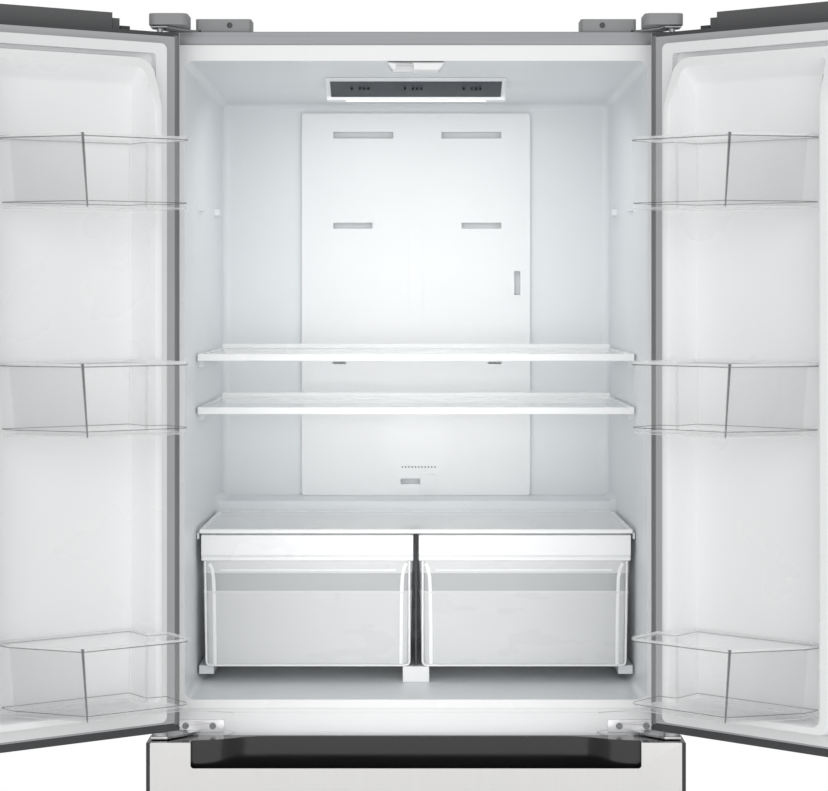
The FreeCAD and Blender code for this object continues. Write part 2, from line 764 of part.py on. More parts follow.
def closed_door():
    """The right door's pieces by name, in the closed position."""
    shapes = {
        "door_skin": door_skin(),
        "door_liner": door_liner(),
        "door_caps": door_caps(),
        "door_gasket": door_gasket(),
        "door_grip": door_grip(),
    }
    for level, bottom in BIN_BOTTOMS.items():
        shapes["bin_" + level] = door_bin(bottom)
    return shapes


def opened(shape, side):
    """A closed door's piece turned to the resting angle of its side."""
    turned = shape.copy()
    turned.rotate(vec(side * PIVOT_X, PIVOT_Y, 0), UP, side * OPEN_ANGLES[side])
    return turned


def flip_mullion():
    """Bar that closes the gap between the doors, drawn flat on its fold axis."""
    low, high = 692.0, 1684.0
    x0 = MULLION_X
    bar = box(x0, x0 + MULLION_REACH, MULLION_Y - MULLION_RADIUS,
              MULLION_Y + MULLION_RADIUS, low, high)
    spine = rod(x0, MULLION_Y, low, MULLION_RADIUS, high - low)
    gaps = [
        box(x0 - 12, x0 + 13, MULLION_Y - 12, MULLION_Y + 12, z - 8, z + 8)
        for z in EAR_HEIGHTS
    ]
    pins = [rod(x0, MULLION_Y, z - 9, 3, 18) for z in EAR_HEIGHTS]
    guide_pin = rod(x0 + GUIDE_PIN_REACH, MULLION_Y, high - 1, GUIDE_PIN_RADIUS, 11)
    return join([join([bar, spine]).cut(gaps), guide_pin] + pins)


def folded(shape):
    """The mullion's resting place: folded back on the open left door."""
    turned = shape.copy()
    turned.rotate(vec(MULLION_X, MULLION_Y, 0), UP, 90)
    return opened(turned, LEFT)


# ---- hinges ----
TOP_PLATE = 3.0


def top_hinges():
    """Plates on the cabinet's top with a pin down into each door."""
    outline = [(270, 12), (270, 60), (352, 60), (414, -34), (414, -58), (388, -58),
               (356, -6), (340, 12)]
    plate = prism_z(outline, CABINET_TOP, CABINET_TOP + TOP_PLATE)
    pin = rod(PIVOT_X, PIVOT_Y, 1726, PIN_RADIUS, CABINET_TOP - 1726 + 1)
    hole = rod(296, 36, CABINET_TOP - 1, 3, 6)
    return pair(join([plate, pin]).cut(hole))


def hinge_covers():
    """A cover over each hinge plate and a rounded cover over each knuckle."""
    low = CABINET_TOP
    cover = block_z(262, 350, 6, 66, 6, low, 1767)
    space = prism_z([(268, 10), (268, 62), (356, 62), (356, -4), (336, 10)], low - 1,
                    low + TOP_PLATE + 0.2)
    well = block_z(278, 314, 18, 52, 4, 1757, 1768)
    hole = rod(296, 36, low, 3.2, 20)
    knuckle = block_z(356, 416, -74, 0, 12, low + TOP_PLATE + 0.3, 1767)
    return Part.makeCompound([
        cover.cut([space, well, hole]), mirrored(cover.cut([space, well, hole])),
        knuckle, mirrored(knuckle),
    ])


def lower_hinges():
    """Plates on the crossbar with an arm and a pin up into each door."""
    low, arm_top = 635.5, 639.5
    plate = box(304, 376, -3, 0, low, 656)
    outline = [(344, 0), (376, 0), (414, -34), (414, -58), (388, -58), (344, -12)]
    arm = prism_z(outline, low, arm_top)
    pin = rod(PIVOT_X, PIVOT_Y, low, PIN_RADIUS, 25)
    washer = rod(PIVOT_X, PIVOT_Y, arm_top, 10, 5)
    holes = [rod(x, -4, z, 3, 6, vec(0, 1, 0)) for x, z in LOWER_SCREWS]
    return pair(join([plate, arm, pin, washer]).cut(holes))


def hinge_screws():
    """Two screws through each lower plate and one down through each top cover."""
    screws = []
    for side in (-1, 1):
        for x, z in LOWER_SCREWS:
            head = rod(side * x, -5.6, z, 5.2, 2.6, vec(0, 1, 0))
            slot = box(side * x - 4, side * x + 4, -6, -4.6, z - 0.6, z + 0.6)
            cross = box(side * x - 0.6, side * x + 0.6, -6, -4.6, z - 4, z + 4)
            shank = rod(side * x, -3, z, 2.7, 10, vec(0, 1, 0))
            screws.append(join([head, shank]).cut([slot, cross]))
        head = rod(side * 296, 36, 1757, 6, 3)
        slot = box(side * 296 - 5, side * 296 + 5, 35.4, 36.6, 1759, 1761)
        shank = rod(side * 296, 36, 1747, 2.7, 10)
        screws.append(join([head, shank]).cut(slot))
    return Part.makeCompound(screws)


# ---- freezer drawer ----
def pocket_space(grow, low):
    """Finger pocket in the drawer's top edge: shallow at its ends, deep in the middle."""
    half = POCKET_HALF + grow
    shallow, deep = -58.0 + grow, -24.0 + grow
    outline = []
    outline.append(Part.LineSegment(vec(-half, DOOR_FRONT - 1, low), vec(-half, shallow, low)))
    outline.append(swoop(-half, shallow, -225, deep, low))
    outline.append(Part.LineSegment(vec(-225, deep, low), vec(225, deep, low)))
    outline.append(swoop(225, deep, half, shallow, low))
    outline.append(Part.LineSegment(vec(half, shallow, low), vec(half, DOOR_FRONT - 1, low)))
    outline.append(Part.LineSegment(vec(half, DOOR_FRONT - 1, low),
                                    vec(-half, DOOR_FRONT - 1, low)))
    wire = Part.Wire([e.toShape() for e in outline])
    return Part.Face(wire).extrude(vec(0, 0, DRAWER_TOP + 1 - low))


def swoop(x0, y0, x1, y1, z):
    """Gentle S-curve between two depths of the pocket's rear wall."""
    curve = Part.BezierCurve()
    middle = (x0 + x1) / 2
    curve.setPoles([vec(x0, y0, z), vec(middle, y0, z), vec(middle, y1, z), vec(x1, y1, z)])
    return curve


POCKET_FLOOR = 578.0
POCKET_WALL = 2.5


def drawer_block():
    """Space of the drawer front behind its steel face."""
    return box(-HALF, HALF, DOOR_FRONT + 1.2, DOOR_BACK - 2, DRAWER_BOTTOM, DRAWER_TOP)


def freezer_frame():
    """Black surround of the drawer front, open at the top for the finger pocket."""
    front = DOOR_FRONT + 1.2
    inside = box(2.5 - HALF, HALF - 2.5, front - 1, DOOR_BACK, DRAWER_BOTTOM + 2.5,
                 DRAWER_TOP - 2.5)
    side_strip = box(HALF - 6, HALF, DOOR_FRONT, front, DRAWER_BOTTOM, DRAWER_TOP)
    ring = drawer_block().cut(inside)
    return join([ring, side_strip, mirrored(side_strip)]).cut(pocket_space(POCKET_WALL, 570))


def drawer_pocket():
    """Insert that forms the finger pocket: floor, curved rear wall and two end walls."""
    basin = pocket_space(POCKET_WALL, POCKET_FLOOR - POCKET_WALL).common(drawer_block())
    upper = box(-HALF, HALF, DOOR_FRONT, 0, POCKET_FLOOR, DRAWER_TOP + 1)
    between = box(-POCKET_HALF, POCKET_HALF, DOOR_FRONT, 0, POCKET_FLOOR, DRAWER_TOP + 1)
    walls = basin.common(upper).cut(pocket_space(0, POCKET_FLOOR - 1))
    return Part.makeCompound(
        [basin.cut(upper), walls.common(between)] + walls.cut(between).Solids)


def freezer_front_panel():
    """Steel face of the drawer, notched for the finger pocket."""
    edge = HALF - 6
    panel = plate_y(-edge, edge, DRAWER_BOTTOM, DRAWER_TOP, 2, DOOR_FRONT, DOOR_FRONT + 1.2)
    notch = plate_y(-POCKET_HALF, POCKET_HALF, POCKET_SILL, DRAWER_TOP + 40, 5,
                    DOOR_FRONT - 1, DOOR_FRONT + 2)
    return panel.cut(notch)


def freezer_inner_panel():
    """Formed inner face of the drawer front, hollow behind its raised field."""
    plate = box(1 - HALF, HALF - 1, DOOR_BACK - 2, DOOR_BACK, DRAWER_BOTTOM + 1, DRAWER_TOP - 1)
    raised = loft([
        wire_y(-345, 345, 112, 566, 24, DOOR_BACK - 2),
        wire_y(-336, 336, 120, 556, 24, 14),
    ])
    hollow = loft([
        wire_y(-343, 343, 114, 564, 22, DOOR_BACK - 3),
        wire_y(-334, 334, 122, 554, 22, 12),
    ])
    return join([plate, raised]).cut(hollow)


def freezer_gasket():
    ring = plate_y(-386, 386, 74, 612, 10, DOOR_BACK, -GAP)
    return ring.cut(plate_y(-368, 368, 91, 594, 6, DOOR_BACK - 1, 1))


def freezer_basket():
    """Deep bin on side runners, hooked to the drawer front."""
    outside = loft([wire_z(-318, 318, 24, 372, 20, 104), wire_z(-332, 332, 15, 385, 20, 370)])
    inside = loft([wire_z(-315, 315, 27, 369, 17, 107), wire_z(-329, 329, 18, 382, 17, 370.1)])
    runner = box(330, FREEZER_HALF - 5, 30, 370, RAIL_Z + 7, RAIL_Z + 18)
    return join([outside, runner, mirrored(runner)]).cut(inside)


def freezer_tray():
    """Shallow tray that slides on the basket's rim."""
    outside = loft([wire_z(-318, 318, 22, 312, 6, 371), wire_z(-328, 328, 16, 318, 6, 450)])
    inside = loft([wire_z(-315, 315, 25, 309, 3, 374), wire_z(-325, 325, 19, 315, 3, 450.1)])
    rim = block_z(-336, 336, 16, 318, 6, 370.4, 374.4)
    return join([outside, rim]).cut(inside)


# ---- output ----
def all_pieces():
    pieces = {
        f.__name__: f()
        for f in (
            cabinet_wrapper, rear_panel, rear_lower_cover, power_inlet, top_front_rail,
            crossbar, fridge_liner, freezer_liner, duct_cover,
            damper_slider, control_housing, control_panel, light_lens, mullion_guide,
            shelf_frames, shelf_glass, crisper_cover_frame, crisper_cover_glass,
            crisper_divider, crisper_right, crisper_left, freezer_duct_cover, evaporator,
            evaporator_fan, freezer_rails, base_tray, rear_rollers, levelling_feet,
            toe_grille, compressor, condenser, drain_pan, top_hinges, hinge_covers,
            lower_hinges, hinge_screws, freezer_frame, drawer_pocket, freezer_front_panel,
            freezer_inner_panel, freezer_gasket, freezer_basket, freezer_tray,
        )
    }
    for name, shape in closed_door().items():
        pieces["right_" + name] = opened(shape, RIGHT)
        left = mirrored(shape)
        if name == "door_liner":
            left = join([left] + mullion_ears())
        pieces["left_" + name] = opened(left, LEFT)
    pieces["flip_mullion"] = folded(flip_mullion())
    return pieces


for node, shape in all_pieces().items():
    shape.translate(vec(0, -ORIGIN_BACK, 0))
    shape.exportStep("parts/" + node + ".step")
    print(node, len(shape.Solids), shape.isValid(), round(shape.Volume / 1000))
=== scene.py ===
import json
import math

import bmesh
import bpy
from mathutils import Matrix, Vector

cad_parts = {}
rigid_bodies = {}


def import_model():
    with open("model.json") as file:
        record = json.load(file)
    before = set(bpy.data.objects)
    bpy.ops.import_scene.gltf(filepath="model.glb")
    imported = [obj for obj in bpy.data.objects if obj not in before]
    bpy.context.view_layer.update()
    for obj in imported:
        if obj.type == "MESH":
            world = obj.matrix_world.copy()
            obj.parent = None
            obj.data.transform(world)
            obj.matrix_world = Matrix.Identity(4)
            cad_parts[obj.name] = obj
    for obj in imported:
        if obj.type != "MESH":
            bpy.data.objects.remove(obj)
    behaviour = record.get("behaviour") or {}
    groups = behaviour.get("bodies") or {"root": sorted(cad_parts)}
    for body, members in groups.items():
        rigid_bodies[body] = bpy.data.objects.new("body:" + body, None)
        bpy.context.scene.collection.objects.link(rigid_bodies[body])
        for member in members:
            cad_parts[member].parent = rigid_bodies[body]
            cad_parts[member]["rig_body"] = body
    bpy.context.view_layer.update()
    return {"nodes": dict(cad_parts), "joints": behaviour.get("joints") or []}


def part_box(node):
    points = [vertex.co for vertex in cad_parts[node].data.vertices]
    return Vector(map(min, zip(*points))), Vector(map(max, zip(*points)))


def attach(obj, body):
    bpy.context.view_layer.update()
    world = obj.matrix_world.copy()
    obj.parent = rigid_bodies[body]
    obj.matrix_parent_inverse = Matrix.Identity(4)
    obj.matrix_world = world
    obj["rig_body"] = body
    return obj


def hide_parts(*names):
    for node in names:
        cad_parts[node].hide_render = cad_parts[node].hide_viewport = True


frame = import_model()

# The looks of a french door refrigerator with both doors wide open.
# Lengths are in millimetres and become metres only where a mesh or a light is made.
MM = 0.001
joints = {joint["name"]: joint for joint in frame["joints"]}

CABINET_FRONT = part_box("fridge_liner")[0].y / MM     # Y of the cabinet's front face
HALF_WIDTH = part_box("cabinet_wrapper")[1].x / MM
PIVOT_X = joints["right_door_hinge"]["pos_m"][0] / MM
PIVOT_Y = joints["right_door_hinge"]["pos_m"][1] / MM
SIDES = {"left": -1, "right": 1}
OPEN_ANGLES = {side: math.radians(-joints[door + "_door_hinge"]["range_deg"][0])
               for door, side in SIDES.items()}
DOOR_EDGE = HALF_WIDTH - PIVOT_X                      # from the pin to the door's hinge edge
DOOR_INNER = 31.0                                     # from the pin to the door's inner face


# ---- materials ----
class Look:
    """One procedural material: a Principled shader and the nodes that feed it."""

    def __init__(self, name, colour, roughness, metallic=0.0, **constants):
        self.material = bpy.data.materials.new(name)
        self.material.use_nodes = True
        self.nodes = self.material.node_tree.nodes
        self.links = self.material.node_tree.links
        self.shader = self.nodes["Principled BSDF"]
        self.colour = colour
        self.shader.inputs["Base Color"].default_value = (*colour, 1)
        self.shader.inputs["Roughness"].default_value = roughness
        self.shader.inputs["Metallic"].default_value = metallic
        for socket, value in constants.items():
            self.shader.inputs[socket.replace("_", " ")].default_value = value

    def node(self, kind, values=None, **settings):
        made = self.nodes.new(kind)
        for key, value in settings.items():
            setattr(made, key, value)
        for socket, value in (values or {}).items():
            made.inputs[socket].default_value = value
        return made

    def noise(self, scale, stretch=(1, 1, 1), detail=3.0):
        """Noise over the object's own coordinates, finer where stretch is larger."""
        place = self.node("ShaderNodeTexCoord")
        mapping = self.node("ShaderNodeMapping", {"Scale": stretch})
        texture = self.node("ShaderNodeTexNoise", {"Scale": scale, "Detail": detail})
        self.links.new(place.outputs["Object"], mapping.inputs["Vector"])
        self.links.new(mapping.outputs["Vector"], texture.inputs["Vector"])
        return texture.outputs["Fac"]

    def vary_roughness(self, source, low, high):
        span = self.node("ShaderNodeMapRange", {"From Min": 0.3, "From Max": 0.7,
                                                "To Min": low, "To Max": high})
        self.links.new(source, span.inputs["Value"])
        self.links.new(span.outputs["Result"], self.shader.inputs["Roughness"])

    def vary_colour(self, source, other, amount=1.0):
        """Mixes towards another colour where the source is high."""
        span = self.node("ShaderNodeMapRange", {"From Min": 0.2, "From Max": 0.8,
                                                "To Min": 0.0, "To Max": amount})
        mix = self.node("ShaderNodeMix", data_type="RGBA")
        mix.inputs["A"].default_value = (*self.colour, 1)
        mix.inputs["B"].default_value = (*other, 1)
        colour = self.shader.inputs["Base Color"]
        if colour.is_linked:
            self.links.new(colour.links[0].from_socket, mix.inputs["A"])
        self.links.new(source, span.inputs["Value"])
        self.links.new(span.outputs["Result"], mix.inputs["Factor"])
        self.links.new(mix.outputs["Result"], colour)

    def wear(self, worn, start=0.53, end=0.60):
        """Lighter or barer colour along outside edges."""
        shape = self.node("ShaderNodeNewGeometry")
        span = self.node("ShaderNodeMapRange", {"From Min": start, "From Max": end,
                                                "To Min": 0.35, "To Max": 0.7})
        self.links.new(shape.outputs["Pointiness"], span.inputs["Value"])
        self.vary_colour(span.outputs["Result"], worn, 0.8)

    def bump(self, source, height, strength=1.0):
        relief = self.node("ShaderNodeBump", {"Distance": height * MM, "Strength": strength})
        normal = self.shader.inputs["Normal"]
        if normal.is_linked:
            self.links.new(normal.links[0].from_socket, relief.inputs["Normal"])
        self.links.new(source, relief.inputs["Height"])
        self.links.new(relief.outputs["Normal"], normal)


def moulded(name, colour, roughness, grain=0.03, **constants):
    """Injection-moulded or vacuum-formed plastic: fine grain, slow waviness, worn edges."""
    look = Look(name, colour, roughness, **constants)
    slow = look.noise(5.0)
    look.vary_roughness(slow, roughness * 0.85, roughness * 1.15)
    look.vary_colour(slow, [c * 0.985 for c in colour])
    look.wear([min(1.0, c * 1.015 + 0.004) for c in colour])
    look.bump(look.noise(900.0, detail=2.0), grain)
    look.bump(look.noise(14.0, detail=1.0), 0.12, 0.3)
    return look.material


def brushed(name, colour, roughness, stretch, metallic=1.0, contrast=0.14):
    """Metal with its grain along one direction, and slow staining."""
    look = Look(name, colour, roughness, metallic)
    grain = look.noise(260.0, stretch, detail=6.0)
    look.vary_roughness(grain, roughness * (1 - contrast), roughness * (1 + contrast))
    look.vary_colour(grain, [c * (1 - contrast) for c in colour])
    look.vary_colour(look.noise(3.0), [c * 0.94 for c in colour], 0.6)
    look.wear([min(1.0, c * 1.15) for c in colour])
    look.bump(grain, 0.02)
    return look.material


def plated(name, colour, roughness):
    """Bright plating with faint pitting and smears."""
    look = Look(name, colour, roughness, 1.0)
    look.vary_roughness(look.noise(30.0, detail=5.0), roughness * 0.6, roughness * 1.8)
    look.vary_colour(look.noise(12.0), [c * 0.9 for c in colour])
    look.bump(look.noise(220.0), 0.03)
    return look.material


def clear(name, colour, roughness, alpha, passing=1.0, ior=1.5, waves=0.1):
    """See-through plastic or glass with slight flow marks; alpha keeps its shade light."""
    look = Look(name, colour, roughness, Transmission_Weight=passing, IOR=ior, Alpha=alpha)
    look.vary_roughness(look.noise(9.0, (1, 1, 3)), roughness * 0.6, roughness * 1.6)
    look.vary_colour(look.noise(4.0), [c * 0.97 for c in colour])
    if waves:
        look.bump(look.noise(18.0, (1, 1, 0.3), detail=1.0), waves, 0.5)
    return look.material


def enamel(name, colour, roughness):
    """Sprayed paint: orange peel, dust and rubbed edges."""
    look = Look(name, colour, roughness, Coat_Weight=0.3, Coat_Roughness=0.15)
    look.vary_roughness(look.noise(7.0), roughness * 0.85, roughness * 1.2)
    look.vary_colour(look.noise(5.0), [c * 0.93 for c in colour])
    look.wear([min(1.0, c * 1.4 + 0.05) for c in colour])
    look.bump(look.noise(350.0, detail=1.0), 0.04)
    return look.material


def soft_rubber(name, colour):
    look = Look(name, colour, 0.6)
    look.vary_roughness(look.noise(40.0), 0.5, 0.75)
    look.vary_colour(look.noise(6.0), [c * 0.93 for c in colour])
    look.bump(look.noise(600.0), 0.05)
    return look.material


def glowing(name, colour, strength):
    """Diffusing lens over the lamp: fine prisms and a soft glow."""
    look = Look(name, colour, 0.5, Emission_Color=(*colour, 1), Emission_Strength=strength)
    look.vary_roughness(look.noise(60.0), 0.4, 0.6)
    look.vary_colour(look.noise(30.0), [c * 0.95 for c in colour])
    look.bump(look.noise(400.0, (0.2, 1, 1), detail=1.0), 0.2)
    return look.material


UPRIGHT_GRAIN = (1, 1, 0.012)
LEVEL_GRAIN = (0.012, 1, 1)

LOOKS = {
    "cabinet_paint": enamel("cabinet_paint", (0.33, 0.335, 0.34), 0.38),
    "door_return": enamel("door_return", (0.40, 0.405, 0.415), 0.45),
    # The dark hem colour is painted shade on the rolled hinge edge of each door.
    "door_hem": enamel("door_hem", (0.10, 0.10, 0.105), 0.45),
    "galvanised": brushed("galvanised", (0.52, 0.53, 0.54), 0.5, (1, 1, 1)),
    "rail_steel": brushed("rail_steel", (0.27, 0.275, 0.285), 0.34, LEVEL_GRAIN),
    "stainless": brushed("stainless", (0.63, 0.625, 0.62), 0.36, UPRIGHT_GRAIN, 1.0, 0.04),
    "zinc_steel": brushed("zinc_steel", (0.55, 0.56, 0.57), 0.4, (1, 1, 1)),
    "chrome": plated("chrome", (0.80, 0.80, 0.81), 0.25),
    "aluminium": brushed("aluminium", (0.75, 0.76, 0.77), 0.42, (1, 0.05, 1)),
    "black_enamel": enamel("black_enamel", (0.022, 0.022, 0.024), 0.3),
    "liner_plastic": moulded("liner_plastic", (0.80, 0.825, 0.84), 0.34),
    "door_plastic": moulded("door_plastic", (0.90, 0.905, 0.91), 0.30),
    "white_plastic": moulded("white_plastic", (0.88, 0.885, 0.89), 0.36),
    "trim_plastic": moulded("trim_plastic", (0.90, 0.905, 0.91), 0.26),
    "grey_plastic": moulded("grey_plastic", (0.28, 0.285, 0.29), 0.42, 0.06),
    "cap_plastic": moulded("cap_plastic", (0.11, 0.112, 0.115), 0.42, 0.06),
    "dark_plastic": moulded("dark_plastic", (0.055, 0.057, 0.06), 0.4, 0.06),
    "slate_plastic": moulded("slate_plastic", (0.020, 0.027, 0.036), 0.42),
    "black_plastic": moulded("black_plastic", (0.03, 0.03, 0.032), 0.5, 0.08),
    "gloss_black": moulded("gloss_black", (0.009, 0.009, 0.010), 0.16, 0.01),
    "roller_plastic": moulded("roller_plastic", (0.06, 0.06, 0.062), 0.55, 0.06),
    "lens_plastic": glowing("lens_plastic", (0.95, 0.95, 0.93), 1.5),
    "frosted_plastic": clear("frosted_plastic", (0.92, 0.93, 0.935), 0.30, 0.60, 0.0),
    # The crispers' clearer strip is tinted darker: painted shade for the shadow inside the tub under
    # its cover.
    "crisper_shaded_window": clear("crisper_shaded_window", (0.86, 0.88, 0.89), 0.08, 0.34, 0.0),
    "clear_plastic": clear("clear_plastic", (0.97, 0.98, 0.98), 0.04, 0.03, 0.0),
    # A grey copy of the clear plastic for the bins' slanted sides: painted shade for their greyer
    # look at a grazing view.
    "clear_side_shade": clear("clear_side_shade", (0.55, 0.56, 0.57), 0.06, 0.17, 0.0),
    # A dark copy of the clear plastic for the bins' edge lines: painted shade for the dark lines
    # that light bent by the plastic makes.
    "clear_edge_shade": clear("clear_edge_shade", (0.05, 0.055, 0.06), 0.10, 0.62, 0.0),
    "clear_rim": clear("clear_rim", (0.93, 0.94, 0.945), 0.12, 0.42, 0.2),
    # Both glasses are near-white and part opaque: painted reflection of the bright back wall that
    # glass shows at a grazing view.
    "shelf_glass": clear("shelf_glass", (0.90, 0.92, 0.925), 0.06, 0.40, 0.0, 1.5, 0.0),
    "cover_glass": clear("cover_glass", (0.95, 0.96, 0.965), 0.06, 0.80, 0.0, 1.5, 0.0),
    "gasket": soft_rubber("gasket", (0.86, 0.865, 0.87)),
}


# ---- mesh helpers ----
def add_object(name, mesh, looks):
    for look in looks:
        mesh.materials.append(LOOKS[look])
    made = bpy.data.objects.new(name, mesh)
    bpy.context.scene.collection.objects.link(made)
    return made


def sheet_piece(name, points, faces, looks, body):
    """A mesh from points in millimetres, riding on a body."""
    mesh = bpy.data.meshes.new(name)
    mesh.from_pydata([Vector(p) * MM for p in points], [], faces)
    work = bmesh.new()
    work.from_mesh(mesh)
    bmesh.ops.remove_doubles(work, verts=work.verts, dist=1e-6)
    bmesh.ops.recalc_face_normals(work, faces=work.faces)
    work.to_mesh(mesh)
    work.free()
    piece = add_object(name, mesh, looks)
    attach(piece, body)
    smooth(piece)
    return piece


def smooth(piece, angle=38):
    """Shades curved faces smooth and keeps edges sharper than the angle."""
    piece.data.shade_smooth()
    piece.data.set_sharp_from_angle(angle=math.radians(angle))


def bevelled(piece, width, segments=2, angle=34):
    bevel = piece.modifiers.new("rounded_edges", "BEVEL")
    bevel.width = width * MM
    bevel.segments = segments
    bevel.limit_method = "ANGLE"
    bevel.angle_limit = math.radians(angle)
    bevel.miter_outer = "MITER_ARC"
    bevel.use_clamp_overlap = True
    shading = piece.modifiers.new("face_shading", "WEIGHTED_NORMAL")
    shading.keep_sharp = True
    return piece


def folded_by_rounding(face):
    """A face with an inside corner, which could fold over when its edges are rounded."""
    return len(face.verts) > 4 and any(not loop.is_convex for loop in face.loops)


def finished(node, width, slot, look=None, segments=2):
    """A CAD node's own shape with its edges rounded, or left as cut where width is 0."""
    mesh = frame["nodes"][node].data.copy()
    mesh.materials.clear()
    work = bmesh.new()
    work.from_mesh(mesh)
    bmesh.ops.remove_doubles(work, verts=work.verts, dist=2e-6)
    bmesh.ops.dissolve_limit(work, angle_limit=math.radians(0.5), verts=work.verts,
                             edges=work.edges)
    bmesh.ops.triangulate(work, faces=[f for f in work.faces if folded_by_rounding(f)])
    work.to_mesh(mesh)
    work.free()
    piece = add_object(node + "_finished", mesh, [look or slot])
    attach(piece, frame["nodes"][node]["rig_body"])
    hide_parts(node)
    if not width:
        piece.data.shade_flat()
        return piece
    smooth(piece)
    return bevelled(piece, width, segments)


def paint_faces(piece, look, chosen):
    """Gives a second look to the faces for which chosen(centre in mm, normal) is true."""
    piece.data.materials.append(LOOKS[look])
    index = len(piece.data.materials) - 1
    for face in piece.data.polygons:
        if chosen(face.center / MM, face.normal):
            face.material_index = index


def repaint(node, look):
    """A CAD node that keeps its mesh gets a procedural material."""
    materials = frame["nodes"][node].data.materials
    for i in range(len(materials)):
        materials[i] = LOOKS[look]


def rounded_ring(u0, u1, v0, v1, radius, across=6, along=6, corner=6):
    """Points round a rectangle with round corners; equal counts give matching rings."""
    centres = [(u1 - radius, v0 + radius, -90), (u1 - radius, v1 - radius, 0),
               (u0 + radius, v1 - radius, 90), (u0 + radius, v0 + radius, 180)]
    arcs = []
    for u, v, start in centres:
        turns = [math.radians(start + 90 * i / corner) for i in range(corner + 1)]
        arcs.append([(u + radius * math.cos(t), v + radius * math.sin(t)) for t in turns])
    ring = []
    for i, arc in enumerate(arcs):
        steps = along if i % 2 == 0 else across
        (ua, va), (ub, vb) = arc[-1], arcs[(i + 1) % 4][0]
        ring += arc
        ring += [(ua + (ub - ua) * k / steps, va + (vb - va) * k / steps)
                 for k in range(1, steps)]
    return ring


def loft_faces(count, rings, first, last):
    """Quads between successive closed rings, with a cap at either end where asked."""
    faces = []
    for r in range(rings - 1):
        low, high = r * count, (r + 1) * count
        for i in range(count):
            j = (i + 1) % count
            faces.append((low + i, low + j, high + j, high + i))
    if first:
        faces.append(tuple(reversed(range(count))))
    if last:
        faces.append(tuple(range((rings - 1) * count, rings * count)))
    return faces


def loft_piece(name, rings, looks, body, first=True, last=True):
    count = len(rings[0])
    points = [point for ring in rings for point in ring]
    return sheet_piece(name, points, loft_faces(count, len(rings), first, last),
                       looks, body)


def disc_row(name, centres, radius, height, look, body):
    """Small raised round marks facing forwards, as one mesh."""
    turns = [math.radians(30 * i) for i in range(12)]
    steps = ((radius, 0), (radius, height * 0.6), (radius * 0.7, height))
    disc = loft_faces(len(turns), len(steps), True, True)
    points, faces = [], []
    for x, y, z in centres:
        first = len(points)
        for r, rise in steps:
            points += [(x + r * math.cos(t), y - rise, z + r * math.sin(t)) for t in turns]
        faces += [tuple(first + i for i in face) for face in disc]
    return sheet_piece(name, points, faces, [look], body)


def bar_piece(name, path, width, depth, plane, look, body):
    """A rounded bar along an (x, z) path; plane(z) is the Y of its middle."""
    count = 10
    rings = []
    for i, (x, z) in enumerate(path):
        xa, za = path[max(0, i - 1)]
        xb, zb = path[min(len(path) - 1, i + 1)]
        along = Vector((xb - xa, zb - za)).normalized()
        ring = []
        for k in range(count):
            turn = 2 * math.pi * k / count
            off = width / 2 * math.cos(turn)
            ring.append((x + along.y * off, plane(z) + depth / 2 * math.sin(turn),
                         z - along.x * off))
        rings.append(ring)
    return loft_piece(name, rings, [look], body)


def prism_piece(name, profile, x0, x1, look, body, radius=0.6):
    """A (y, z) profile drawn out along X, with its edges eased."""
    rings = [[(x, y, z) for y, z in profile] for x in (x0, x1)]
    return bevelled(loft_piece(name, rings, [look], body), radius)


# ---- doors ----
def door_point(side, s, p, z):
    """Row place of a point on an open door: s from the hinge edge, p off the inner face."""
    dx, dy = DOOR_EDGE - s, DOOR_INNER + p
    cosine, sine = math.cos(OPEN_ANGLES[side]), math.sin(OPEN_ANGLES[side])
    x = dx * cosine - dy * sine
    y = dx * sine + dy * cosine
    return (side * (PIVOT_X + x), PIVOT_Y + y, z)


def door_direction(side, p):
    """Unit direction across an open door's thickness; p of -1 points out of its face."""
    start, end = Vector(door_point(side, 0, 0, 0)), Vector(door_point(side, 0, p, 0))
    return (end - start).normalized()


CREST = 60.0


def crest_limit(z):
    """The dikes run out in a slope below the top of the door."""
    return max(20.0, min(CREST, CREST - 0.5 * (z - 1612)))


def smooth_least(a, b, blend=5.0):
    """The lesser of two heights, with the corner between them rounded."""
    h = max(blend - abs(a - b), 0) / blend
    return min(a, b) - h * h * blend / 4


def door_liner(side, name):
    """Formed inner panel: flat border, rounded dikes, and the recess for the bins."""
    profile = [
        (1, 414, 662, 1731, 3, -0.8), (55, 380, 686, 1700, 27, -0.8),
        (57.6, 377.2, 688.8, 1697.2, 25, -0.2), (59, 375.6, 690, 1696, 24, 1.8),
        (59.6, 371.6, 690.5, 1695, 24, 12), (60.6, 364, 691, 1693, 24, 34),
        (61.6, 356.6, 691.8, 1690.6, 24, 54), (62.6, 354.4, 692.8, 1689.6, 23, 58.2),
        (64.6, 352, 694.6, 1687.6, 22, 60), (66.6, 347.5, 697, 1685, 21, 60),
        (69, 342, 699, 1683, 19, 60), (71, 338, 700.6, 1681, 17, 60),
        (73, 336, 702.6, 1680, 15, 59), (74.6, 334, 704, 1679, 13, 56),
        (77, 331, 704.4, 1678, 12.6, 42), (81.4, 326.2, 704.7, 1671, 12.3, 22),
        (85.4, 322.6, 705.4, 1657, 12, 8), (88, 320, 708, 1653.6, 13, 4.8),
        (92, 316, 712, 1649, 16, 4), (124, 284, 744, 1610, 20, 4),
    ]
    rings = []
    for s0, s1, z0, z1, radius, p in profile:
        ring = rounded_ring(s0, s1, z0, z1, radius, across=8, along=60)
        rings.append([door_point(side, s, smooth_least(p, crest_limit(z)), z)
                      for s, z in ring])
    piece = loft_piece(name + "_liner_formed", rings, ["door_plastic"], name,
                       first=False)
    if piece.data.polygons[-1].normal.dot(door_direction(side, 1)) < 0:
        piece.data.flip_normals()
    wall = piece.modifiers.new("sheet", "SOLIDIFY")
    wall.thickness = 2 * MM
    wall.offset = -1
    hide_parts(name + "_liner")
    return piece


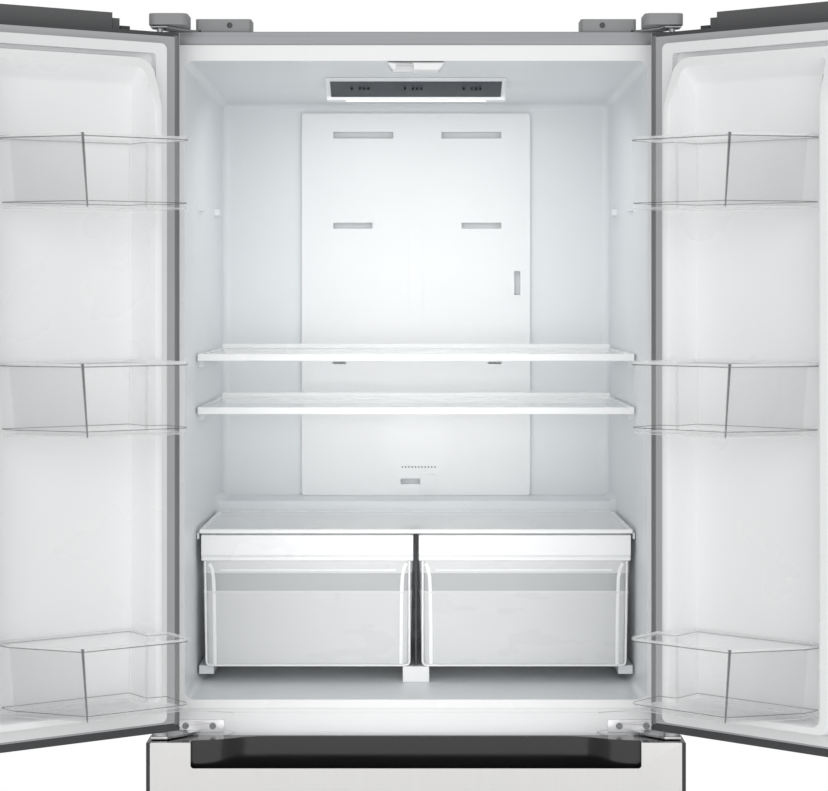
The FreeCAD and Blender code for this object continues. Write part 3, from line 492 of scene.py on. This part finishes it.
BIN_PATH = ((91, 8, 4), (91, 64, 6), (60, 67, 3), (60, 132, 14), (66, 146, 14), (78, 150, 10),
            (243, 150, 5), (311, 48, 16), (315, 30, 8), (315, 8, 4))
BIN_FRONT = (242.0, 148.0)   # the sharp front corner of the rim
BIN_LEAN = 8.0               # how far the free side leans in towards the bottom
CORNER_STEPS = 5
BIN_BOTTOMS = {"bottom": 710.0, "middle": 1122.0, "top": 1457.0}
BIN_HEIGHT = 108.0
BASE_HIGH = 3.0              # below this height in a bin is its base
RIM_LOW = 104.2              # and above this one is its rim
PAINTED_SHADE_LINES = ((8.8, 10.0), (102.6, RIM_LOW))   # heights of the thin dark lines round a bin, painted shade for light bent by the clear plastic
CORNER_SHADE_REACH = 7.0           # how far the painted shade on the front corner reaches, in mm
CORNER_FACET = 2e-4          # its facets are smaller than this, in square metres


def inset_corners(path, inset):
    """Moves every side of a closed outline inwards by the same distance."""
    corners = []
    for i, (s, p, radius) in enumerate(path):
        before = Vector(path[i - 1][:2])
        here = Vector((s, p))
        after = Vector(path[(i + 1) % len(path)][:2])
        into, out = (here - before).normalized(), (after - here).normalized()
        side_in, side_out = Vector((into.y, -into.x)), Vector((out.y, -out.x))
        bisector = (side_in + side_out) / (1 + side_in.dot(side_out))
        turn = into.x * out.y - into.y * out.x
        shrink = inset if turn < 0 else -inset
        corners.append((here + bisector * inset, max(0.6, radius - shrink)))
    return corners


def rounded_path(path, inset, steps=CORNER_STEPS):
    """Points along a closed outline with its corners rounded."""
    corners = inset_corners(path, inset)
    points = []
    for i, (here, radius) in enumerate(corners):
        before, after = corners[i - 1][0], corners[(i + 1) % len(corners)][0]
        into, out = (here - before).normalized(), (after - here).normalized()
        half = into.angle(out) / 2
        reach = min(radius * math.tan(half), 0.46 * (here - before).length,
                    0.46 * (after - here).length)
        start, end = here - into * reach, here + out * reach
        for k in range(steps + 1):
            t = k / steps
            points.append(start * (1 - t) ** 2 + here * 2 * t * (1 - t) + end * t ** 2)
    return points


def bin_lean(s, z):
    """How far a bin's wall stands in from its rim's outline at a height."""
    return BIN_LEAN * (1 - z / BIN_HEIGHT) * max(0.0, min(1.0, (s - 110) / 130))


def door_bin(side, door, level):
    """Clear bin that narrows downwards, with a slim rim; its dark edge lines and grey slanted sides
    are painted shade for the light the clear plastic bends.
    """
    low = BIN_BOTTOMS[level]
    levels = [
        (5.0, 0.0), (3.4, 0.4), (2.4, 2.0), (2.2, 5.0), (2.1, 8.8), (2.1, 10.0), (1.9, 22.0),
        (1.1, 60.0), (0.3, 102.6), (0.2, 104.2), (-0.1, 105.2), (-0.1, 107.2), (0.3, 108.0),
        (1.9, 108.0), (2.3, 107.2), (2.6, 102.6), (3.4, 60.0), (4.3, 22.0), (4.6, 9.0),
        (6.2, 4.4), (9.0, 2.9),
    ]
    rings = [
        [door_point(side, s - bin_lean(s, z), p, low + z)
         for s, p in rounded_path(BIN_PATH, inset)]
        for inset, z in levels
    ]
    piece = loft_piece(f"{door}_{level}_bin", rings,
                       ["clear_plastic", "clear_edge_shade", "clear_rim", "clear_side_shade"],
                       f"{door}_door")
    slant = Vector(door_point(side, 96, 68, 0)).xy - Vector(door_point(side, 0, 0, 0)).xy
    slant.normalize()
    for face in piece.data.polygons:
        z = face.center.z / MM - low
        s, p = BIN_FRONT
        corner = Vector(door_point(side, s - bin_lean(s, z), p, 0)).xy
        is_side = abs(face.normal.z) < 0.9
        near_corner = ((face.center.xy / MM - corner).length < CORNER_SHADE_REACH
                       and face.area < CORNER_FACET)
        # Dark edge lines and the dark front corner are painted shade for light bent by the clear
        # plastic.
        if is_side and (near_corner or any(low_z < z < high_z for low_z, high_z in PAINTED_SHADE_LINES)):
            face.material_index = 1
        elif z > RIM_LOW or z < BASE_HIGH:
            face.material_index = 2
        # Slanted sides are painted grey: painted shade for how they look at a grazing view.
        elif is_side and abs(face.normal.xy.normalized().dot(slant)) > 0.97:
            face.material_index = 3
    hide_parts(f"{door}_bin_{level}")
    return piece


DOOR_LOW, DOOR_HIGH = 660.0, 1733.0    # ends of the dark strip of painted shade along the hem, inside the door's caps
CAP_STEP = (1745.9, 1758.1)            # heights of the raised part of the top caps


def hinge_edge(side, body):
    """A dark strip down the hinge edge of a door's folded border: painted shade where the rolled hem
    curves away from the light.
    """
    section = ((0.8, 0.2), (9, 0.2), (8, 0.8), (1.8, 0.8))
    corners = [(s, p, z) for z in (DOOR_LOW, DOOR_HIGH) for s, p in section]
    sheet_piece(body + "_hem", [door_point(side, *corner) for corner in corners],
                loft_faces(4, 2, True, True), ["door_hem"], body)


def build_doors():
    for door, side in SIDES.items():
        door_liner(side, door + "_door")
        outward = door_direction(side, -1)
        skin = finished(door + "_door_skin", 0.4, "stainless")
        paint_faces(skin, "door_return", lambda centre, normal: normal.dot(outward) < 0.5)
        caps = finished(door + "_door_caps", 1.2, "grey_plastic", "dark_plastic")
        paint_faces(caps, "cap_plastic", lambda centre, normal: CAP_STEP[0] < centre.z < CAP_STEP[1])
        hinge_edge(side, door + "_door")
        finished(door + "_door_gasket", 3.0, "gasket", segments=4)
        finished(door + "_door_grip", 1.2, "gloss_black")
        for level in BIN_BOTTOMS:
            door_bin(side, door, level)
    finished("flip_mullion", 1.2, "grey_plastic")


# ---- crispers ----
TUB_LOW = 713.3
TUB_HIGH = 932.0


def tub_rise(z):
    return (z - TUB_LOW) / (TUB_HIGH - TUB_LOW)


def tub_front(z):
    """Y of a crisper's sloping front wall."""
    return CABINET_FRONT + 160 - 4 * tub_rise(z)


def tub_ring(side, z, inset):
    t = tub_rise(z)
    ring = rounded_ring(9 - 4.5 * t + inset, 350 + 5 * t - inset, 160 - 4 * t + inset,
                        454 + 3 * t - inset, 14 - inset)
    return [(side * x, CABINET_FRONT + y, z) for x, y in ring]


def crisper(side, body):
    """Frosted tub with a clearer strip tinted darker as painted shade for the shadow inside it, a
    white handle band, and a framed front.
    """
    levels = [
        (4, 713.3), (1.4, 714), (0.3, 716), (0, 719), (0, 833.4), (-0.8, 835), (-0.8, 837),
        (0, 838.4), (0, 868), (0, 925), (0, 932), (2.4, 932), (2.5, 925), (2.5, 868),
        (2.5, 838.4), (2.5, 833.4), (2.5, 723), (3.2, 718), (6, 716), (9, 715.8),
    ]
    tub = loft_piece(body + "_tub", [tub_ring(side, z, inset) for inset, z in levels],
                     ["frosted_plastic"], body)
    # The clear strip's darker tint is painted shade for the shadow inside the tub.
    paint_faces(tub, "crisper_shaded_window",
                lambda centre, normal: 838.4 < centre.z < 868 and abs(normal.z) < 0.5)
    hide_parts(body)
    front = CABINET_FRONT
    band = [(150, 930), (150, 900), (150.6, 897.6), (152.4, 896.4), (155, 896), (155, 893.6),
            (153.6, 892.6), (153.6, 889.6), (155, 888.6), (159.4, 888.6), (159.4, 931.8),
            (151.6, 931.8)]
    prism_piece(body + "_handle_band", [(front + y, z) for y, z in band],
                side * 4.6, side * 354.9, "trim_plastic", body)
    low, corner = 715.0, 7.0
    inner, outer = 11.0, 347.0
    outline = [(inner, 888), (inner, low + corner)]
    outline += [(inner + corner - corner * math.cos(t), low + corner - corner * math.sin(t))
                for t in (0.4, 0.8, 1.2)]
    outline += [(inner + corner, low), (outer - corner, low)]
    outline += [(outer - corner + corner * math.sin(t), low + corner - corner * math.cos(t))
                for t in (0.4, 0.8, 1.2)]
    outline += [(outer, low + corner), (outer + 2, 888)]
    bar_piece(body + "_front_frame", [(side * x, z) for x, z in outline], 3.6, 3.2,
              lambda z: tub_front(z) - 0.4, "trim_plastic", body)
    for name, edge, lean in (("inner_rib", inner, 1), ("outer_rib", outer, -1)):
        path = [(edge + lean * 5, 884), (edge + lean * 9, 876), (edge + lean * 11.6, 862),
                (edge + lean * 12.6, 840), (edge + lean * 13.6, 780), (edge + lean * 13.8, 717)]
        bar_piece(f"{body}_{name}", [(side * x, z) for x, z in path], 6.4, 3.0,
                  lambda z: tub_front(z) + 0.6, "trim_plastic", body)
    bar_piece(body + "_front_ridge", [(side * (inner + 22), 873), (side * (outer - 22), 873)],
              3.6, 3.0, tub_front, "trim_plastic", body)


def build_crispers():
    crisper(-1, "crisper_left")
    crisper(1, "crisper_right")


# ---- the rest of the CAD nodes ----
FINISHED = {
    "cabinet_wrapper": (0.4, "cabinet_paint"),
    "rear_panel": (0.6, "galvanised"),
    "rear_lower_cover": (0.6, "black_plastic"),
    "power_inlet": (0.8, "black_plastic"),
    "top_front_rail": (0.8, "rail_steel"),
    "crossbar": (2.0, "white_plastic"),
    "freezer_liner": (3.0, "liner_plastic"),
    "duct_cover": (1.6, "white_plastic"),
    "damper_slider": (1.4, "white_plastic"),
    "control_housing": (1.6, "white_plastic"),
    "control_panel": (0.8, "slate_plastic"),
    "light_lens": (1.0, "lens_plastic"),
    "mullion_guide": (1.5, "trim_plastic"),
    "shelf_frames": (1.2, "trim_plastic"),
    "crisper_cover_frame": (1.2, "trim_plastic"),
    "freezer_duct_cover": (1.0, "white_plastic"),
    "evaporator_fan": (0.5, "black_plastic"),
    "freezer_rails": (0.8, "galvanised"),
    "base_tray": (0.5, "galvanised"),
    "rear_rollers": (1.2, "roller_plastic"),
    "levelling_feet": (0.8, "zinc_steel"),
    "toe_grille": (0.8, "black_plastic"),
    "compressor": (1.5, "black_enamel"),
    "drain_pan": (1.0, "black_plastic"),
    "top_hinges": (0.5, "zinc_steel"),
    "hinge_covers": (1.8, "grey_plastic"),
    "freezer_frame": (0.8, "gloss_black"),
    "drawer_pocket": (1.2, "gloss_black"),
    "freezer_front_panel": (0.4, "stainless"),
    "freezer_inner_panel": (2.0, "liner_plastic"),
    "freezer_gasket": (3.0, "gasket"),
    "freezer_basket": (1.2, "clear_plastic"),
    "freezer_tray": (1.2, "clear_plastic"),
}
KEPT = {"evaporator": "aluminium", "condenser": "aluminium"}
WASHER = (639.6, 644.6)      # heights of the plastic washers round the lower hinge pins
WASHER_REACH = 12.0
DIVIDER_FOOT = 713.1         # the divider's foot ends at this height
FLANGE_DEPTH = 4.0           # the liner's front flange is this close to the cabinet's front


def build_cabinet():
    for node, (width, slot) in FINISHED.items():
        finished(node, width, slot)
    # The pale, part opaque look of both glasses is painted reflection of the bright walls they face.
    for glass, look in (("shelf_glass", "shelf_glass"), ("crisper_cover_glass", "cover_glass")):
        finished(glass, 0, "shelf_glass", look).visible_shadow = False
    liner = finished("fridge_liner", 1.6, "liner_plastic")
    paint_faces(liner, "trim_plastic", lambda centre, normal: normal.y < -0.9
                and centre.y < CABINET_FRONT + FLANGE_DEPTH)
    for node, look in KEPT.items():
        repaint(node, look)
    finished("hinge_screws", 0.2, "chrome", "rail_steel")
    hinges = finished("lower_hinges", 0.3, "chrome")
    paint_faces(hinges, "trim_plastic", lambda centre, normal: WASHER[0] < centre.z < WASHER[1]
                and abs(abs(centre.x) - PIVOT_X) < WASHER_REACH)
    # Above its foot the divider's web is painted dark: painted shade for the shadow between the
    # crispers, where the web stands back.
    divider = finished("crisper_divider", 1.0, "white_plastic")
    paint_faces(divider, "dark_plastic", lambda centre, normal: centre.z > DIVIDER_FOOT)


COVER_SCREW = (296.0, 6.0, 1757.0)   # from the centre plane, behind the front face, height


def build_marks():
    """Generic marks: a damper scale, keys on the control panel, and cover screws."""
    across, back, height = COVER_SCREW
    screws = [(side * across, CABINET_FRONT + back, height) for side in (-1, 1)]
    disc_row("cover_screws", screws, 4.5, 1.5, "dark_plastic", "cabinet")
    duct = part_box("duct_cover")[0].y / MM
    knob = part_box("damper_slider")[1]
    scale = [(x, duct, knob.z / MM + 13.5) for x in range(-25, 36, 6)]
    disc_row("damper_scale", scale, 1.3, 0.5, "dark_plastic", "cabinet")
    low, high = (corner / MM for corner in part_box("control_panel"))
    marks = [(x + dx, low.y + 0.45 * (high.y - low.y), low.z + 0.42 * (high.z - low.z))
             for x in (-95, -5, 95) for dx in (-14, 0, 7, 14)]
    disc_row("control_keys", marks, 2.2, 4.0, "black_plastic", "cabinet")


# ---- stage, light and camera ----
FLOOR_RADIUS = 2.25          # metres
FLOOR_DROP = 0.0005          # keeps the floor's face clear of the feet


def build_floor():
    """A pale round floor, large enough to take the shadow."""
    mesh = bpy.data.meshes.new("studio_floor")
    work = bmesh.new()
    bmesh.ops.create_circle(work, cap_ends=True, segments=96, radius=FLOOR_RADIUS)
    work.to_mesh(mesh)
    work.free()
    look = Look("studio_floor", (0.90, 0.90, 0.90), 0.7)
    look.vary_roughness(look.noise(3.0), 0.6, 0.8)
    floor = bpy.data.objects.new("studio_floor", mesh)
    mesh.materials.append(look.material)
    bpy.context.scene.collection.objects.link(floor)
    floor.location.z = -FLOOR_DROP


def area_light(name, place, target, width, height, power):
    data = bpy.data.lights.new(name, "AREA")
    data.shape = "RECTANGLE"
    data.size = width
    data.size_y = height
    data.energy = power
    lamp = bpy.data.objects.new(name, data)
    lamp.location = place
    lamp.visible_camera = False
    aim = Vector(target) - Vector(place)
    lamp.rotation_euler = aim.to_track_quat("-Z", "Y").to_euler()
    bpy.context.scene.collection.objects.link(lamp)
    return lamp


AMBIENT = 0.55               # the white surroundings light the object less than they show
CLEAR_LAYERS = 32            # clear walls that light may pass before it is lost


def build_light():
    world = bpy.data.worlds.new("white_studio")
    world.use_nodes = True
    nodes, links = world.node_tree.nodes, world.node_tree.links
    background = nodes["Background"]
    background.inputs["Color"].default_value = (1, 1, 1, 1)
    rays = nodes.new("ShaderNodeLightPath")
    strength = nodes.new("ShaderNodeMapRange")
    strength.inputs["To Min"].default_value = AMBIENT
    links.new(rays.outputs["Is Camera Ray"], strength.inputs["Value"])
    links.new(strength.outputs["Result"], background.inputs["Strength"])
    bpy.context.scene.world = world
    bpy.context.scene.view_settings.view_transform = "Standard"
    bpy.context.scene.cycles.transparent_max_bounces = CLEAR_LAYERS
    area_light("front_fill", (0, -3.7, 1.2), (0, 0.1, 1.15), 6.0, 5.0, 85)
    beam = area_light("cabinet_fill", (0, -1.0, 1.05), (0, 0.4, 1.05), 0.5, 0.8, 0.5)
    beam.data.spread = math.radians(42)
    beam.visible_glossy = False
    area_light("cabinet_lamp", (0, 0.05, 1.64), (0, 0.25, 1.0), 0.5, 0.2, 0.6)


FOCAL = 98.7                 # lens and sensor, in millimetres
SENSOR = 36.0
CAMERA_BACK = 3.6            # metres from the cabinet's front face to the lens
CAMERA_HEIGHT = 1.340


def build_camera():
    data = bpy.data.cameras.new("front_view")
    data.lens = FOCAL
    data.sensor_width = SENSOR
    data.shift_x = -0.0024
    data.shift_y = -0.130
    camera = bpy.data.objects.new("front_view", data)
    camera.location = (0, CABINET_FRONT * MM - CAMERA_BACK, CAMERA_HEIGHT)
    camera.rotation_euler = (math.radians(90), 0, 0)
    bpy.context.scene.collection.objects.link(camera)
    bpy.context.scene.camera = camera


build_cabinet()
build_marks()
build_crispers()
build_doors()
build_floor()
build_light()
build_camera()
